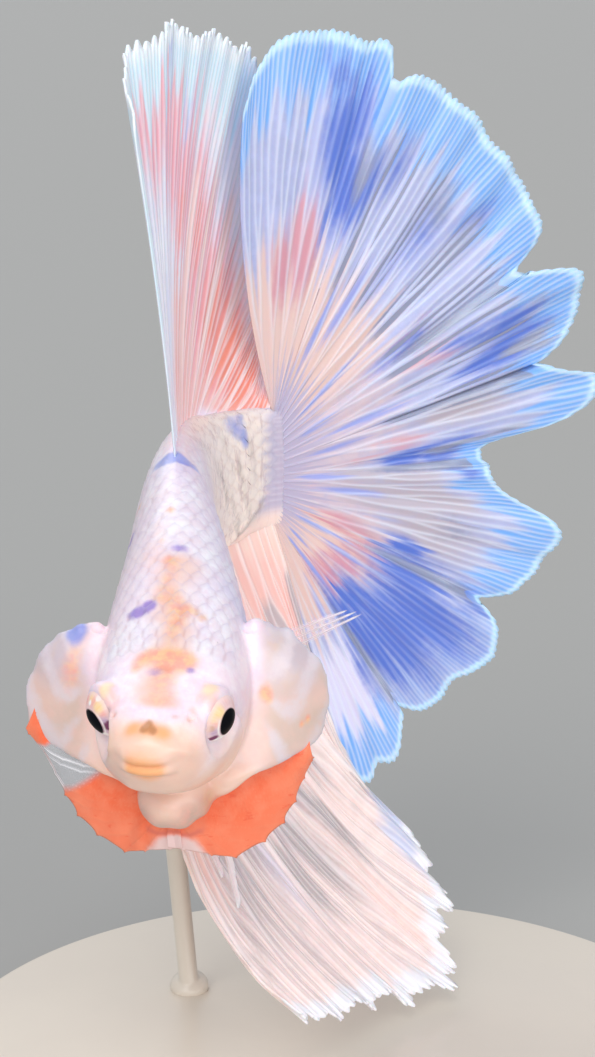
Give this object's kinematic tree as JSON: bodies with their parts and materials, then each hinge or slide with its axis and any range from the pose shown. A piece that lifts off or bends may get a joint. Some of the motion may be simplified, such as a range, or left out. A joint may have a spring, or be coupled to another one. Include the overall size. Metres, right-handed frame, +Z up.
{
  "type": "halfmoon betta fish",
  "caption": "Live betta fish with long spread fins and flared gill covers, turning as it swims, held on a slim rod over a flat round display stand.",
  "frame": {"origin": "centre of the stand base's underside", "axes": "+Z up out of the base, the fish's head towards -Y, its tail swung towards +X"},
  "size_m": [0.06, 0.06, 0.0779],
  "materials": {
    "pearl_skin": "wet, pearly skin with fine scales, lavender white with orange and violet patches",
    "cream_cheek": "wet, thin, slightly translucent cream skin",
    "orange_membrane": "wet, thin orange membrane with fine rays",
    "blue_white_fin": "wet, thin ribbed membrane, blue and white with a peach root",
    "rose_fin": "wet, thin ribbed membrane, rose streaks and a pale blue edge",
    "white_fin": "wet, thin ribbed membrane, pinkish white",
    "eye": "clear and wet, black pupil in a pale pink and gold rim",
    "stand_acrylic": "smooth satin, warm pale grey"
  },
  "bodies": {
    "root": {"head": "pearl_skin", "lower_jaw": "pearl_skin", "throat": "cream_cheek", "trunk": "pearl_skin", "tail_stalk": "pearl_skin", "eye_left": "eye", "eye_right": "eye", "gill_cover_left": "cream_cheek", "gill_cover_right": "cream_cheek", "gill_membrane_left": "orange_membrane", "gill_membrane_right": "orange_membrane", "tail_fin": "blue_white_fin", "dorsal_fin": "rose_fin", "anal_fin": "white_fin", "pelvic_fin_left": "white_fin", "pelvic_fin_right": "white_fin", "pectoral_fin_left": "white_fin", "pectoral_fin_right": "white_fin", "stand_base": "stand_acrylic", "stand_rod": "stand_acrylic"}
  },
  "joints": []
}
